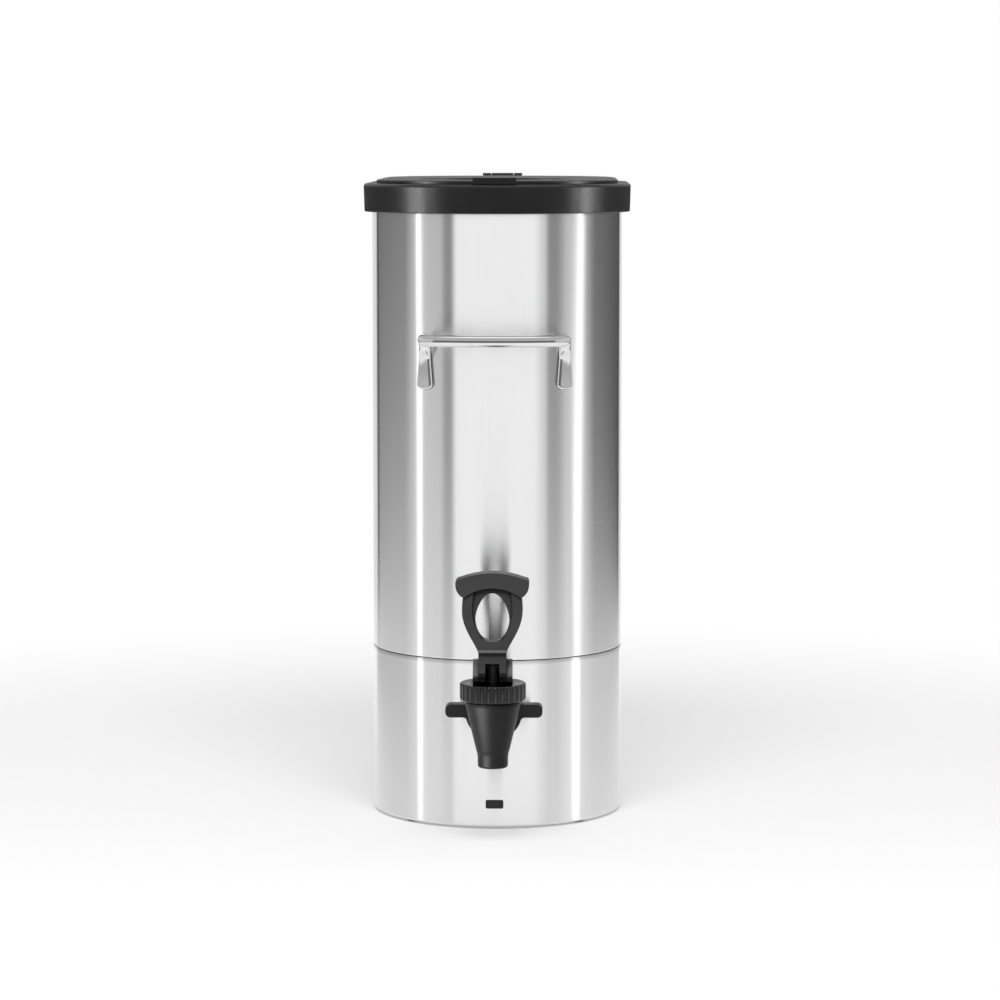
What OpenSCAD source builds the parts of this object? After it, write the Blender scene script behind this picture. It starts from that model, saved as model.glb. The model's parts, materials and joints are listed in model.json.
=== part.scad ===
// Narrow oval tea dispenser with a lever tap, drawn as separate named pieces.
// Lengths are in millimetres. Up is +Z, the tap faces -Y, and the base rests on z = 0.

/* [Tank] */
// Width of the tank from side to side
tank_w = 172; // [160:1:184]
// Length of the straight sides between the two round ends
tank_straight = 95; // [86:1:104]
// Thickness of the tank sheet
tank_wall = 0.8; // [0.6:0.1:1.0]
// Height of the seam where the tank stands on the base skirt
seam_z = 115; // [112:0.5:120]
// Height of the inside of the tank floor
floor_z = 62; // [58:0.5:63]
// Height of the top of the rolled rim
rim_z = 431; // [410:1:450]
// Outer radius of the rolled rim
curl_r = 1.8; // [1.6:0.1:2.0]

/* [Base skirt] */
// Thickness of the skirt sheet
skirt_wall = 0.9; // [0.7:0.1:1.1]
// How far the skirt stands out past the tank
skirt_step = 0.3; // [0.2:0.05:0.5]
// Width of the flange turned in at the bottom
hem_w = 16; // [14:0.5:18]
// Height of the skirt's bottom edge above the table
foot_lift = 1.2; // [0.8:0.1:1.6]
// Diameter of each foot pad
foot_d = 11; // [9:0.5:11]
// Width of the slot in the skirt front
slot_w = 12; // [10:0.5:14]
// Height of the slot
slot_h = 6; // [5:0.5:7]
// Height of the middle of the slot
slot_z = 17; // [15:0.5:20]

/* [Carry handles] */
// Diameter of the handle rod
rod_d = 8; // [7:0.5:9]
// Height of the handle bar
handle_z = 331.7; // [310:1:350]
// Half the distance between the two legs
handle_half = 47; // [44:1:50]
// Distance from the tank's end to the middle of the bar
handle_out = 27; // [26:0.5:32]
// Bend radius at the ends of the bar
bend_r = 14; // [12:0.5:16]
// Radius of the bar's gentle bow
bow_r = 150; // [130:5:200]
// Width of the flattened end at its foot
tab_w = 11.5; // [10:0.5:12]
// Width of the flattened end where it leaves the rod
tab_top_w = 8.5; // [8:0.25:10]
// Thickness of the flattened end
tab_t = 3; // [2.5:0.25:3.5]
// Distance from the bar down to the end of the tab
tab_drop = 34; // [30:1:38]

/* [Lid] */
// Play between the rolled rim and the lid skirt
lid_play = 0.5; // [0.4:0.1:0.8]
// Thickness of the lid skirt
lid_wall = 2.1; // [1.8:0.1:2.4]
// Draft of the lid skirt over its height
lid_draft = 0.5; // [0.3:0.1:0.6]
// Thickness of the lid's rim plate
lid_plate = 3.1; // [2.8:0.1:3.6]
// Height of the lid skirt
lid_h = 19.3; // [17:0.5:22]
// Radius of the lid's top edge
lid_edge = 2.2; // [1.6:0.1:2.6]
// Inset of the fill opening from the tank side
open_inset = 20; // [19:0.5:21]

/* [Hatch] */
// Inset of the hatch edge from the tank side
hatch_inset = 3; // [2:0.5:6]
// Thickness of the hatch plate
hatch_t = 2.8; // [2.6:0.1:3.2]
// Width of the hatch's sloping shoulder
shoulder_w = 7; // [4:0.5:10]
// Height of the hatch's sloping shoulder
shoulder_h = 1.1; // [0.8:0.1:1.4]
// Width of the lift tab and of the hinge block
tab_block_w = 29; // [27:0.5:31]
// Height of the lift tab above the hatch plate
tab_block_up = 1.6; // [1.2:0.1:2.0]
// Depth of the sunken panel
panel_deep = 1.5; // [1.2:0.1:1.8]
// Half width of the sunken panel
panel_half = 54; // [50:1:56]
// Length of the sunken panel from front to back
panel_len = 80; // [70:1:84]
// Radius of the hinge knuckles
knuckle_r = 2.3; // [2.2:0.1:2.4]
// Diameter of the hinge pin
hinge_pin_d = 2.4; // [2.0:0.1:2.6]

/* [Tap] */
// Height of the tap's inlet
tap_z = 84.1; // [82:0.1:88]
// Distance from the skirt to the middle of the spout
tap_out = 48; // [47:0.5:50]
// Radius of the spout at the top of its cone
spout_r = 18.4; // [17.8:0.1:18.8]
// Radius of the spout at its tip
tip_r = 10; // [9.6:0.1:10.4]
// Length of the straight spout tip
tip_len = 9; // [7:0.5:11]
// Height of the whole spout under the bonnet
spout_h = 44.4; // [43:0.1:46]
// Radius of the outlet bore
outlet_r = 8; // [7.6:0.1:8.2]
// Radius of the inlet bore
inlet_r = 6; // [5.6:0.1:6.4]
// Radius of the bonnet
bonnet_r = 21.85; // [21.2:0.05:22.2]
// Height of the bonnet
bonnet_h = 11.6; // [11.4:0.1:13]
// Number of grip flutes round the bonnet
flutes = 30; // [24:2:36]
// Radius of the stem
stem_r = 3.5; // [3.2:0.1:3.7]
// Radius of the wing nut hub
hub_r = 19; // [18.4:0.1:19.2]
// Span of the wing nut over both wings
wing_span = 65; // [60:0.5:68]
// Thickness of the wings
wing_t = 8.9; // [8:0.1:10]
// Wire diameter of the return spring
wire_d = 1.2; // [1.0:0.1:1.4]
// Number of turns of the return spring
turns = 5; // [4:1:6]

/* [Tap handle] */
// Forward tilt of the handle when the tap is open, in degrees
tilt_max = 30; // [26:1:34]
// How far a full tilt lifts the stem
lift_max = 4; // [3.4:0.1:4.2]
// Height of the pivot pin above the bonnet
pin_h = 10.6; // [10.2:0.1:11.2]
// Diameter of the pivot pin
pin_d = 4; // [3.6:0.1:4.2]
// Width over the two cheeks of the foot
cheek_w = 25.9; // [25:0.1:27]
// Width of the neck
neck_w = 18.4; // [17:0.1:19.4]
// Width of the slot that clears the stem
fork_w = 9.3; // [8.8:0.1:9.6]
// Width of the finger loop
loop_w = 39.7; // [38:0.1:41]
// Width of the raised border of the loop
border_w = 6.6; // [6:0.1:7]
// Half width of the finger hole
hole_half = 11.2; // [10.6:0.1:11.6]
// Width of the cap on top of the loop
cap_w = 48.2; // [46:0.1:50]
// Height of the cap's front face in the middle
cap_h = 10; // [9:0.1:11]
// Depth of the cap from front to back
cap_deep = 14; // [12:0.5:15]

/* [Hidden] */
$fn = 72;
eps = 0.01;
run_gap = 0.06;
nest_gap = 0.15;
clear_gap = 0.3;
arc_n = 8;

hl = tank_straight / 2;
r_tank = tank_w / 2;
r_in = r_tank - tank_wall;
r_skirt = r_tank + skirt_step;
r_skirt_in = r_skirt - skirt_wall;
r_low = r_skirt_in - nest_gap;
r_low_in = r_low - tank_wall;
seam_bend = r_tank - r_low;
skirt_lip = 0.4;
tank_front = -hl - r_tank;
skirt_front = -hl - r_skirt;
curl_z = rim_z - curl_r;
curl_x = r_in + curl_r;
lip_w = 3;
hem_r = 1.6;

rest_gap = 0.2;
lid_under = rim_z + rest_gap;
lid_top = lid_under + lid_plate;
lid_bottom = lid_top - lid_h;
r_lid_in = curl_x + curl_r + lid_play;
r_lid_low = r_lid_in + lid_wall;
r_lid = r_lid_low + lid_draft;
r_open = r_tank - open_inset;
guide_out = r_in - 3;
guide_in = guide_out - 2;
guide_deep = 11;

r_hatch = r_tank - hatch_inset;
hatch_bottom = lid_top + clear_gap;
hatch_top = hatch_bottom + hatch_t;
rib_out = r_open - 1;
rib_w = 2;
rib_deep = 1.8;
panel_wall = 1.6;
panel_y = -hl - 22;
tab_out = 5.5;
tab_in = 6;
hinge_y = hl + r_hatch + 5;
hinge_z = lid_top + clear_gap + knuckle_r;
knuckle_half = 8;
knuckle_gap = 0.4;
hinge_bore = hinge_pin_d / 2 + run_gap;

tap_y = skirt_front - tap_out;
gasket_t = 2.5;
gasket_r = 15.5;
collar_t = 3.5;
collar_r = 15.5;
thread_r = 11.2;
shank_r = 10;
thread_end = 16.5;
tail_gasket_t = 2;
tail_flange_t = 2.7;
tail_flange_r = 10.8;
tail_r = 8.5;
hub_back = gasket_t + collar_t + 1;
hub_front = thread_end + tail_gasket_t + tail_flange_t + clear_gap + 3;
wing_fillet = 3;
wall_in = r_skirt - r_low_in;
inner_gasket_t = 2.5;
nut_t = 7;
nut_r = 16.5;
pan_h = min(7, tap_z - nut_r - 1 - floor_z);
shank_in = wall_in + inner_gasket_t + nut_t + 2.5;

shoulder_up = 11.8;
shoulder_z = tap_z + shoulder_up;
tip_z = shoulder_z - spout_h;
bonnet_z = shoulder_z + 0.6;
bonnet_top = bonnet_z + bonnet_h;
plate_t = 3.4;
flute_r = 1.6;
flute_deep = 1.05;
bonnet_under = bonnet_top - plate_t;
neck_r = spout_r - 0.9;
neck_top = bonnet_under - clear_gap;
seat_z = tap_z - 6.6;
chamber_low = outlet_r + 2.9;
chamber_top = neck_r - 2.5;
cup_r = chamber_low - 1.4;
cup_z = seat_z + 0.1;
cup_h = 7.3;
collar_z = cup_z + cup_h;
stem_collar_t = 1.5;
spring_low = collar_z + stem_collar_t + wire_d / 2;
spring_high = bonnet_under - wire_d / 2;
spring_r = stem_r + 3;
pin_z = bonnet_top + pin_h;
foot_h = pin_h - clear_gap;
cam_k = lift_max / (tilt_max * PI / 180);
fork_top = pin_z + stem_r + clear_gap;
foot_front = 15.2;
foot_back = 9;
foot_heel = 1.5;
face_low = 2.5;
toe_back = 12.6;
toe_up = 5;
ledge_up = 11.3;
ledge_out = 1.4;
ledge_t = 0.5;
back_slope = 4;
back_edge = 1;
back_draw = 2;
cheek_front = 12.4;
cheek_top = 5.2;
cheek_r = (cheek_front + foot_back) / 2;
cheek_mid = (foot_back - cheek_front) / 2;
neck_z = pin_z + ledge_up;
neck_lap = 1;
loop_back = 7;
loop_deep = 10;
loop_bow = 143;
loop_rise = 27.5;
web_deep = 5.5;
web_inset = 1;
web_low = 9;
loop_z = neck_z;
loop_mid = loop_z + loop_rise;
hole_up = 7.2;
hole_len = 32;
hole_belly = 15;
hole_low = loop_z + hole_up;
hole_high = hole_low + hole_len;
hole_mid = hole_low + hole_belly;
cap_gap = 3.7;
cap_z = hole_high + cap_gap;
cap_top = cap_z + cap_h;
cap_arc = 58;
cap_arc_low = 30.7;
cap_end_r = 2.6;
cap_end_in = 3.2;
cap_end_drop = 2.7;
cap_foot_r = 9.5;
cap_foot_in = 5.2;
cap_foot_up = 8.6;
cap_foot_turn = 62;

// The drawing is made about the middle of the tank, then moved so that the origin is under the
// middle of the whole object, tap and rear handle included.
reach_front = -tap_y + max(bonnet_r, loop_back + (loop_deep + cap_deep) / 2);
reach_back = hl + r_tank + handle_out + rod_d / 2;
frame_y = (reach_front - reach_back) / 2;

spring_gap = (spring_high - spring_low) / turns - wire_d;
spring_gap_open = (spring_high - spring_low - lift_max) / turns - wire_d;
echo(spring_gap_rest = spring_gap, spring_gap_open = spring_gap_open);

steel = "silver";
black = "dimgray";
seal = "slategray";

// Points on an arc from angle a0 to a1.
function arc(cx, cy, r, a0, a1, n = arc_n) =
    [for (i = [0:n]) [cx + r * cos(a0 + (a1 - a0) * i / n), cy + r * sin(a0 + (a1 - a0) * i / n)]];

// Outline of a rectangle with round corners, centred on the origin.
function round_rect(w, h, r) = concat(
    arc(w / 2 - r, h / 2 - r, r, 0, 90),
    arc(-w / 2 + r, h / 2 - r, r, 90, 180),
    arc(-w / 2 + r, -h / 2 + r, r, 180, 270),
    arc(w / 2 - r, -h / 2 + r, r, 270, 360)
);

function mirrored(pts) = concat(pts, [for (i = [len(pts) - 1:-1:0]) [-pts[i][0], pts[i][1]]]);

// Sweeps a profile round the oval plan. Its x is the distance from the plan's spine.
module racetrack() {
    translate([0, hl, 0])
        rotate_extrude(angle = 180) children();
    translate([0, -hl, 0])
        rotate([0, 0, 180])
            rotate_extrude(angle = 180) children();
    for (a = [0, 180])
        rotate([0, 0, a])
            rotate([90, 0, 0])
                linear_extrude(height = 2 * hl, center = true) children();
}

module placed() {
    translate([0, frame_y, 0]) children();
}

module oval_solid(r, z0, z1) {
    racetrack($fn = 240)
        translate([0, z0]) square([r, z1 - z0]);
}

// A cylinder along Y, from y0 forward to y1, on the tap's inlet axis.
module inlet_rod(r, t0, t1) {
    translate([0, skirt_front - t0, tap_z])
        rotate([90, 0, 0])
            cylinder(r = r, h = t1 - t0);
}

module front_prism(y_back, depth) {
    translate([0, y_back, 0])
        rotate([90, 0, 0])
            linear_extrude(height = depth) children();
}

module side_prism(x0, x1) {
    translate([x0, 0, 0])
        rotate([90, 0, 90])
            linear_extrude(height = x1 - x0) children();
}

module across(r, half, y, z) {
    translate([0, y, z])
        rotate([0, 90, 0])
            cylinder(r = r, h = 2 * half, center = true);
}

// Upper tank with a rolled rim, drawn in at the bottom to sit inside the skirt.
module tank_shell() {
    color(steel)
        difference() {
            racetrack() {
                polygon(concat(
                    [[r_low_in - lip_w, floor_z - tank_wall], [r_low, floor_z - tank_wall]],
                    arc(r_low, seam_z + seam_bend, seam_bend, -90, 0),
                    [
                        [r_tank, curl_z], [r_in, curl_z], [r_in, seam_z + seam_bend + tank_wall],
                        [r_low_in, seam_z + tank_wall], [r_low_in, floor_z], [r_low_in - lip_w, floor_z]
                    ]
                ));
                difference() {
                    translate([curl_x, curl_z]) circle(curl_r);
                    translate([curl_x, curl_z]) circle(curl_r - tank_wall);
                    translate([r_in - 1, curl_z - curl_r - 1])
                        square([curl_r + 0.1, curl_r + 1]);
                }
            }
            inlet_rod(shank_r + 0.2, -30, 5);
        }
}

// Floor pan with a turned-up edge, resting on the tank's bottom lip.
module tank_floor() {
    r = r_low_in - nest_gap;
    color(steel)
        racetrack()
            polygon([
                [0, floor_z],
                [r - 1.2, floor_z],
                [r - 0.35, floor_z + 0.35],
                [r, floor_z + 1.2],
                [r, floor_z + pan_h],
                [r - tank_wall, floor_z + pan_h],
                [r - tank_wall, floor_z + 1.6],
                [r - tank_wall - 0.8, floor_z + tank_wall],
                [0, floor_z + tank_wall]
            ]);
}

function foot_spots() = [for (sx = [-1, 1], sy = [-1, 1])
    [sx * (r_skirt - hem_w / 2 - 1) * cos(45), sy * (hl + (r_skirt - hem_w / 2 - 1) * sin(45))]];

// Base skirt with a flange turned in at the bottom, a tap hole and a slot.
module base_skirt() {
    z0 = foot_lift;
    ri = hem_r - skirt_wall;
    color(steel)
        difference() {
            racetrack()
                polygon(concat(
                    arc(r_skirt - skirt_lip, seam_z - skirt_lip, skirt_lip, 90, 0, 4),
                    arc(r_skirt - hem_r, z0 + hem_r, hem_r, 0, -90),
                    [[r_skirt - hem_w, z0]],
                    [[r_skirt - hem_w, z0 + skirt_wall]],
                    arc(r_skirt - hem_r, z0 + hem_r, ri, -90, 0),
                    [[r_skirt_in, seam_z]]
                ));
            inlet_rod(shank_r + 0.2, -30, 5);
            front_prism(skirt_front + 10, 20)
                translate([0, slot_z])
                    polygon(round_rect(slot_w, slot_h, 1.1));
            for (p = foot_spots())
                translate([p[0], p[1], -eps])
                    cylinder(d = foot_d / 2 + 0.3, h = 10);
        }
}

// Snap-in plug that closes the slot.
module slot_plug() {
    inner = skirt_front + skirt_wall + 0.5;
    color(black) {
        front_prism(inner + 3, inner + 3 - skirt_front - 0.35)
            translate([0, slot_z])
                polygon(round_rect(slot_w - 0.3, slot_h - 0.3, 1));
        front_prism(inner + 1.6, 1.6)
            translate([0, slot_z])
                polygon(round_rect(slot_w + 3, slot_h + 3, 1.5));
    }
}

// Four push-in pads under the flange.
module rubber_feet() {
    color(seal)
        for (p = foot_spots())
            translate([p[0], p[1], 0]) {
                cylinder(d = foot_d, h = foot_lift);
                cylinder(d = foot_d / 2, h = foot_lift + skirt_wall + 2);
                translate([0, 0, foot_lift + skirt_wall])
                    cylinder(d1 = foot_d / 2 + 2, d2 = foot_d / 2, h = 2);
            }
}

// One half of a carry handle as rings: flattened tab, elbow, leg, bend and half of the bow.
// Each station holds a centre, the two section axes, the two half sizes and the squareness.
rod_r = rod_d / 2;
bar_y = tank_front - handle_out;
bow_a = asin((handle_half - bend_r) / (bow_r - bend_r));
bend_x = (bow_r - bend_r) * sin(bow_a);
bend_y = bar_y + bow_r - (bow_r - bend_r) * cos(bow_a);
rod_stand = r_tank + rod_r + 0.5;
elbow_r = rod_r + 3;
elbow_y = -hl - sqrt(rod_stand * rod_stand - handle_half * handle_half);
weld_sink = 0.1;
tab_stand = r_tank + tab_t / 2 - weld_sink;
tab_turn = asin(handle_half / tab_stand);
tab_at = [tab_stand * sin(tab_turn), -hl - tab_stand * cos(tab_turn)];
tab_low = handle_z - tab_drop;
tab_high = handle_z - elbow_r - 7;
end_w = [0.55, 0.84, 0.97, 1];
end_up = [0, 0.7, 1.8, 3.2];

function tab_station(z, w) = [
    [tab_at[0], tab_at[1], z], [cos(tab_turn), sin(tab_turn), 0], [-sin(tab_turn), cos(tab_turn), 0],
    tab_w / 2 * w, tab_t / 2, 0.35];
function ease(f) = f * f * (3 - 2 * f);
function swan_station(f) = let (
    e = ease(f),
    a = tab_turn * (1 - e),
    low = [tab_at[0], tab_at[1], tab_high],
    high = [handle_half, elbow_y, handle_z - elbow_r],
    mid = low + (high - low) * e
) [
    [mid[0], mid[1], low[2] + (high[2] - low[2]) * f], [cos(a), sin(a), 0], [-sin(a), cos(a), 0],
    tab_top_w / 2 + (rod_r - tab_top_w / 2) * e, tab_t / 2 + (rod_r - tab_t / 2) * e, 0.35 + 0.65 * e];
function elbow_station(a) = [
    [handle_half, elbow_y - elbow_r * (1 - cos(a)), handle_z - elbow_r * (1 - sin(a))],
    [1, 0, 0], [0, cos(a), sin(a)], rod_r, rod_r, 1];
function bend_station(a) = [
    [bend_x + bend_r * cos(a), bend_y - bend_r * sin(a), handle_z],
    [cos(a), -sin(a), 0], [0, 0, 1], rod_r, rod_r, 1];
function bow_station(a) = [
    [bow_r * sin(a), bar_y + bow_r * (1 - cos(a)), handle_z],
    [sin(a), -cos(a), 0], [0, 0, 1], rod_r, rod_r, 1];

handle_stations = concat(
    [for (i = [0:3]) tab_station(tab_low + end_up[i], end_w[i])],
    [for (i = [0:5]) swan_station(i / 5)],
    [for (i = [1:5]) elbow_station(90 * i / 5)],
    [for (i = [0:7]) bend_station((90 - bow_a) * i / 7)],
    [for (i = [1:5]) bow_station(bow_a * (1 - i / 5))]
);

function squared(v, n) = sign(v) * pow(abs(v), n);
function station_ring(s, sides) = [for (j = [0:sides - 1]) let (b = 360 * (j + 0.5) / sides)
    s[0] + s[1] * s[3] * squared(cos(b), s[5]) + s[2] * s[4] * squared(sin(b), s[5])];

// One carry handle at the front: a bent rod with its ends flattened against the tank.
module carry_handle() {
    sides = 16;
    half = len(handle_stations);
    right = [for (s = handle_stations) station_ring(s, sides)];
    left = [for (i = [half - 2:-1:0]) [for (p = right[i]) [-p[0], p[1], p[2]]]];
    rings = concat(right, left);
    last = len(rings) - 1;
    walls = [for (i = [0:last - 1], j = [0:sides - 1])
        let (k = (j + 1) % sides, m = i * sides, n = (i + 1) * sides) [m + j, n + j, n + k, m + k]];
    ends = [[for (j = [0:sides - 1]) j], [for (j = [sides - 1:-1:0]) last * sides + j]];
    color(steel)
        polyhedron(points = [for (r = rings) for (p = r) p], faces = concat(walls, ends));
}

module front_handle() {
    carry_handle();
}

module rear_handle() {
    mirror([0, 1, 0]) carry_handle();
}

// Seal between the skirt and the shank collar, hollowed to the skirt's curve.
module outer_gasket() {
    color(seal)
        difference() {
            inlet_rod(gasket_r, -3, gasket_t);
            inlet_rod(shank_r + 0.2, -5, gasket_t + 1);
            oval_solid(r_skirt, tap_z - 2 * gasket_r, tap_z + 2 * gasket_r);
        }
}

// Threaded tube through the skirt and the tank wall.
module tap_shank() {
    color(steel)
        difference() {
            union() {
                inlet_rod(shank_r, -shank_in, gasket_t + eps);
                inlet_rod(collar_r, gasket_t, gasket_t + collar_t);
                inlet_rod(thread_r, gasket_t + collar_t - eps, thread_end);
            }
            inlet_rod(inlet_r, -shank_in - 1, thread_end + 1);
        }
}

// Seal inside the tank, rounded to the tank wall.
module inner_gasket() {
    color(seal)
        difference() {
            intersection() {
                inlet_rod(nut_r - 1.5, -wall_in - inner_gasket_t, 5);
                oval_solid(r_low_in, tap_z - 2 * nut_r, tap_z + 2 * nut_r);
            }
            inlet_rod(shank_r + 0.1, -30, 10);
        }
}

// Hex nut inside the tank.
module shank_nut() {
    color(steel)
        translate([0, skirt_front + wall_in + inner_gasket_t, tap_z])
            rotate([-90, 0, 0])
                difference() {
                    cylinder(r = nut_r, h = nut_t, $fn = 6);
                    translate([0, 0, -1]) cylinder(r = shank_r + nest_gap, h = nut_t + 2);
                }
}

// Seal between the shank's end and the tap's tail.
module tail_gasket() {
    color(seal)
        difference() {
            inlet_rod(tail_flange_r, thread_end, thread_end + tail_gasket_t);
            inlet_rod(inlet_r, thread_end - 1, thread_end + tail_gasket_t + 1);
        }
}

// Union nut with two wings that clamps the tap on the shank.
module wing_nut() {
    wing_back = skirt_front - hub_back - 3;
    wing_deep = 10;
    wing_half = wing_span / 2;
    tip = wing_t / 2 - 1;
    fillet_z = wing_t / 2 + wing_fillet;
    fillet_x = sqrt(pow(hub_r + wing_fillet, 2) - fillet_z * fillet_z);
    fillet_a = atan2(fillet_z, fillet_x) + 8;
    root = [(hub_r - 2) * cos(fillet_a), (hub_r - 2) * sin(fillet_a)];
    color(black)
        difference() {
            union() {
                inlet_rod(hub_r - 1, hub_back, hub_front);
                inlet_rod(hub_r, hub_back + 0.8, hub_front - 0.8);
                front_prism(wing_back, wing_deep)
                    translate([0, tap_z])
                        polygon(mirrored(concat(
                            [[root[0], -root[1]]],
                            arc(fillet_x, -fillet_z, wing_fillet, 180 - fillet_a, 90),
                            arc(wing_half - tip, -wing_t / 2 + tip, tip, -90, 0),
                            arc(wing_half - tip, wing_t / 2 - tip, tip, 0, 90),
                            arc(fillet_x, fillet_z, wing_fillet, 270, 180 + fillet_a),
                            [root]
                        )));
            }
            inlet_rod(thread_r + run_gap, hub_back - 1, hub_front - 3);
            inlet_rod(tail_r + run_gap, hub_back, hub_front + 1);
        }
}

// Spout body with its valve chamber and the tail that takes the inlet.
module tap_body() {
    cone_z = tip_z + tip_len;
    color(black)
        difference() {
            union() {
                translate([0, tap_y, 0])
                    rotate_extrude()
                        polygon([
                            [0, tip_z], [tip_r - 0.9, tip_z], [tip_r - 0.2, tip_z + 0.6], [tip_r, tip_z + 1.4],
                            [tip_r + 0.1, cone_z - 2], [tip_r + 0.35, cone_z], [tip_r + 1.1, cone_z + 2.6],
                            [spout_r, shoulder_z - 2.4], [spout_r, shoulder_z - 0.6], [spout_r - 0.5, shoulder_z],
                            [neck_r, shoulder_z], [neck_r, neck_top], [0, neck_top]
                        ]);
                inlet_rod(tail_r, thread_end + tail_gasket_t, tap_out - outlet_r);
                inlet_rod(tail_flange_r, thread_end + tail_gasket_t, thread_end + tail_gasket_t + tail_flange_t);
            }
            translate([0, tap_y, 0])
                rotate_extrude()
                    polygon([
                        [0, tip_z - 1], [outlet_r, tip_z - 1], [outlet_r, seat_z], [chamber_low, seat_z],
                        [chamber_top, shoulder_z - 2], [chamber_top, neck_top + 1], [0, neck_top + 1]
                    ]);
            inlet_rod(inlet_r, thread_end, tap_out - outlet_r - 1);
        }
}

// Screw-on bonnet with a fluted grip and a guide hole for the stem.
module bonnet() {
    color(black)
        difference() {
            translate([0, tap_y, 0])
                rotate_extrude()
                    polygon([
                        [stem_r + run_gap, bonnet_under], [neck_r + run_gap, bonnet_under],
                        [neck_r + run_gap, bonnet_z], [bonnet_r - 1.5, bonnet_z], [bonnet_r - 0.4, bonnet_z + 0.6],
                        [bonnet_r, bonnet_z + 1.7],
                        [bonnet_r, bonnet_top - 1.2], [bonnet_r - 0.35, bonnet_top - 0.35],
                        [bonnet_r - 1.2, bonnet_top], [stem_r + run_gap, bonnet_top]
                    ]);
            for (i = [0:flutes - 1])
                translate([0, tap_y, 0])
                    rotate([0, 0, 360 * (i + 0.5) / flutes])
                        translate([bonnet_r + flute_r - flute_deep, 0, bonnet_z - 1])
                            cylinder(r = flute_r, h = bonnet_h + 2, $fn = 24);
        }
}

// Valve stem with a spring collar, a round head and a cross hole for the pivot pin.
module stem() {
    color(black)
        difference() {
            translate([0, tap_y, 0])
                rotate_extrude()
                    polygon(concat([
                        [0, cup_z + 2], [stem_r - 0.6, cup_z + 2], [stem_r, cup_z + 2.6], [stem_r, collar_z],
                        [cup_r - 0.6, collar_z], [cup_r - 0.6, collar_z + stem_collar_t],
                        [stem_r, collar_z + stem_collar_t]
                    ], arc(0, pin_z, stem_r, 0, 90)));
            across(pin_d / 2 + run_gap, cup_r, tap_y, pin_z);
        }
}

// Soft cup on the stem that closes on the seat.
module seat_cup() {
    color(seal)
        translate([0, tap_y, 0])
            rotate_extrude()
                polygon([
                    [0, cup_z + 0.6], [outlet_r - 1, cup_z + 0.6], [outlet_r - 0.4, cup_z], [cup_r - 0.4, cup_z],
                    [cup_r, cup_z + 0.5], [cup_r - 1.2, collar_z], [stem_r + nest_gap, collar_z],
                    [stem_r + nest_gap, cup_z + 2], [0, cup_z + 2]
                ]);
}

function spring_point(t) = [
    spring_r * cos(360 * turns * t), spring_r * sin(360 * turns * t),
    spring_low + (spring_high - spring_low) * t];

// Coil spring that pushes the stem down, as one tube along a helix.
module return_spring() {
    rings = 8 * turns;
    sides = 6;
    pts = [for (i = [0:rings]) let (t = i / rings, p = spring_point(t), a = 360 * turns * t)
        for (j = [0:sides - 1]) let (b = 360 * j / sides)
            [p[0] + wire_d / 2 * cos(b) * cos(a), p[1] + wire_d / 2 * cos(b) * sin(a), p[2] + wire_d / 2 * sin(b)]];
    sides_faces = [for (i = [0:rings - 1], j = [0:sides - 1])
        let (k = (j + 1) % sides, m = i * sides, n = (i + 1) * sides) [m + j, m + k, n + k, n + j]];
    ends = [[for (j = [sides - 1:-1:0]) j], [for (j = [0:sides - 1]) rings * sides + j]];
    color(steel)
        translate([0, tap_y, 0])
            polyhedron(points = pts, faces = concat(sides_faces, ends));
}

// Pivot pin through the handle's fork and the stem.
module handle_pin() {
    color(steel)
        across(pin_d / 2, cheek_w / 2 - 0.4, tap_y, pin_z);
}

// Outline of the foot from the side: the toe is an involute, so lift follows tilt evenly.
function toe(f) = let (p = foot_h + cam_k * f * PI / 180)
    [-p * sin(f) - cam_k * cos(f), -p * cos(f) + cam_k * sin(f)];
function toe_line(last) = [for (i = [0:12]) toe(last * i / 12)];

function loop_half(z) = z < loop_mid
    ? neck_w / 2 + (loop_w - neck_w) / 2 * ease(pow((z - loop_z) / (loop_mid - loop_z), 0.72))
    : loop_w / 2 - pow(z - loop_mid, 2) / loop_bow;
function loop_side(inset, low, high, n = 18) = [for (i = [0:n]) let (z = low + (high - low) * i / n)
    [max(loop_half(z) - inset, web_inset / 2), z]];

function hole_side(n = 40) = [for (i = [0:n - 1]) let (a = 360 * i / n, up = max(sin(a), 0))
    [hole_half * cos(a) * (1 - 0.13 * up), hole_mid + sin(a) * (up > 0 ? hole_high - hole_mid : hole_mid - hole_low)]];

// Outline of the arched cap in the front view.
function cap_outline() = let (
    half = cap_w / 2,
    rise = asin((half - cap_end_in) / cap_arc),
    low = asin((half - cap_foot_in) / cap_arc_low),
    end_z = cap_top - cap_arc * (1 - cos(rise)),
    foot_z = cap_z - cap_arc_low * (1 - cos(low))
) concat(
    arc(0, cap_top - cap_arc, cap_arc, 90 - rise, 90 + rise, 20),
    arc(-half + cap_end_r, end_z - cap_end_drop, cap_end_r, 95, 180, 6),
    arc(-half + cap_foot_r, foot_z + cap_foot_up, cap_foot_r, 180, 180 + cap_foot_turn),
    arc(0, cap_z - cap_arc_low, cap_arc_low, 90 + low, 90 - low, 20),
    arc(half - cap_foot_r, foot_z + cap_foot_up, cap_foot_r, 360 - cap_foot_turn, 360),
    arc(half - cap_end_r, end_z - cap_end_drop, cap_end_r, 0, 85, 6)
);

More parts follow.
